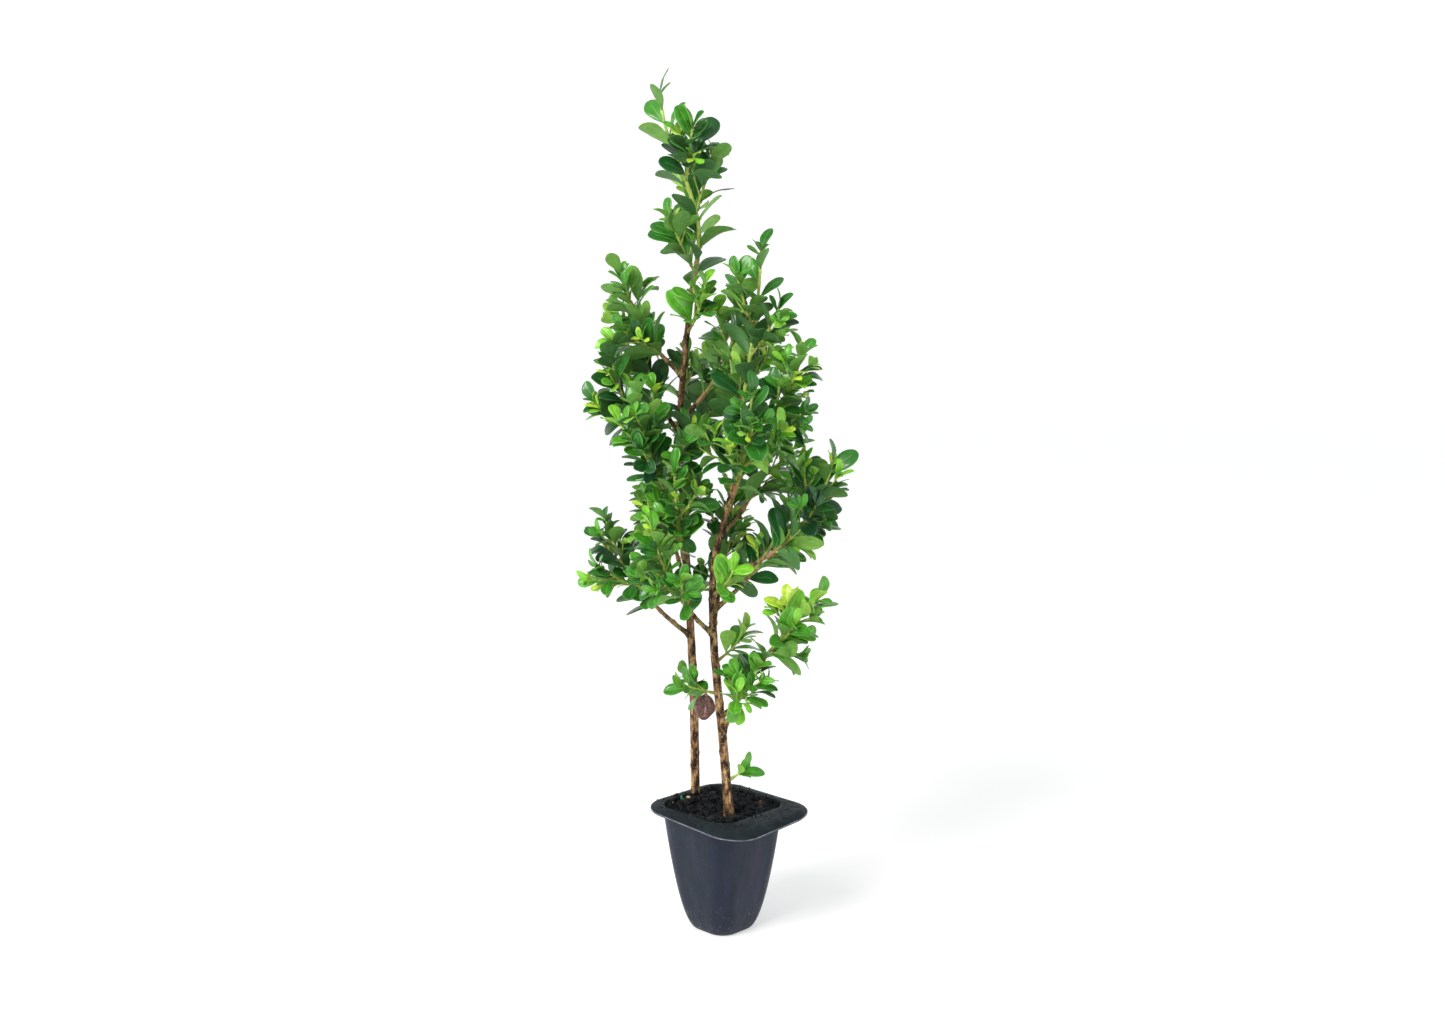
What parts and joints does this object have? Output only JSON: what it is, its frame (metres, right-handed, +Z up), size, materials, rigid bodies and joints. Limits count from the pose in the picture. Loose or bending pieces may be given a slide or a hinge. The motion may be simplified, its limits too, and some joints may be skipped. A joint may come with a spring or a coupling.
{
  "type": "potted japanese holly shrub",
  "caption": "Young evergreen japanese holly with slim woody stems and small oval leaves, rooted in one tapered plug-tray cell with a flat rim",
  "frame": {"origin": "the middle of the pot's flat underside, on the surface the pot stands on", "axes": "+Z up along the plant; the pot's rounded front corner points to -Y, which is the side seen in the picture; +X to its right"},
  "size_m": [0.1266, 0.1224, 0.4032],
  "materials": {
    "pot_plastic": "satin, dark navy grey",
    "peat": "moist and crumbly",
    "bark": "matt, tan with dark buds",
    "foliage": "slightly glossy green"
  },
  "bodies": {
    "root": {"pot": "pot_plastic", "soil": "peat", "stem_left": "bark", "stem_front": "bark", "bough_front_low_right": "bark", "bough_front_cluster": "bark", "bough_front_right": "bark", "bough_front_left": "bark", "bough_front_back": "bark", "bough_front_right_back": "bark", "bough_front_near": "bark", "bough_left_low": "bark", "bough_left_back": "bark", "bough_left_mid": "bark", "bough_left_right_back": "bark", "bough_left_inner": "bark", "bough_left_high": "bark", "bough_front_side": "bark", "bough_front_high": "bark", "bough_left_near": "bark", "bough_left_side": "bark", "bough_left_far": "bark", "foliage_left_top": "foliage", "foliage_front_top": "foliage", "foliage_front_low_right": "foliage", "foliage_front_cluster": "foliage", "foliage_front_right": "foliage", "foliage_front_left": "foliage", "foliage_front_back": "foliage", "foliage_front_right_back": "foliage", "foliage_front_near": "foliage", "foliage_left_low": "foliage", "foliage_left_back": "foliage", "foliage_left_mid": "foliage", "foliage_left_right_back": "foliage", "foliage_left_inner": "foliage", "foliage_left_high": "foliage", "foliage_front_side": "foliage", "foliage_front_high": "foliage", "foliage_left_near": "foliage", "foliage_left_side": "foliage", "foliage_left_far": "foliage", "foliage_front_sprout": "foliage", "foliage_front_twig_left": "foliage", "foliage_front_spur_low": "foliage", "foliage_front_spur_mid": "foliage", "foliage_front_spur_high": "foliage", "foliage_left_sprout": "foliage", "foliage_left_spur_low": "foliage", "foliage_left_spur_mid": "foliage", "foliage_left_spur_near": "foliage", "foliage_left_spur_far": "foliage", "foliage_left_spur_top": "foliage"}
  },
  "joints": []
}
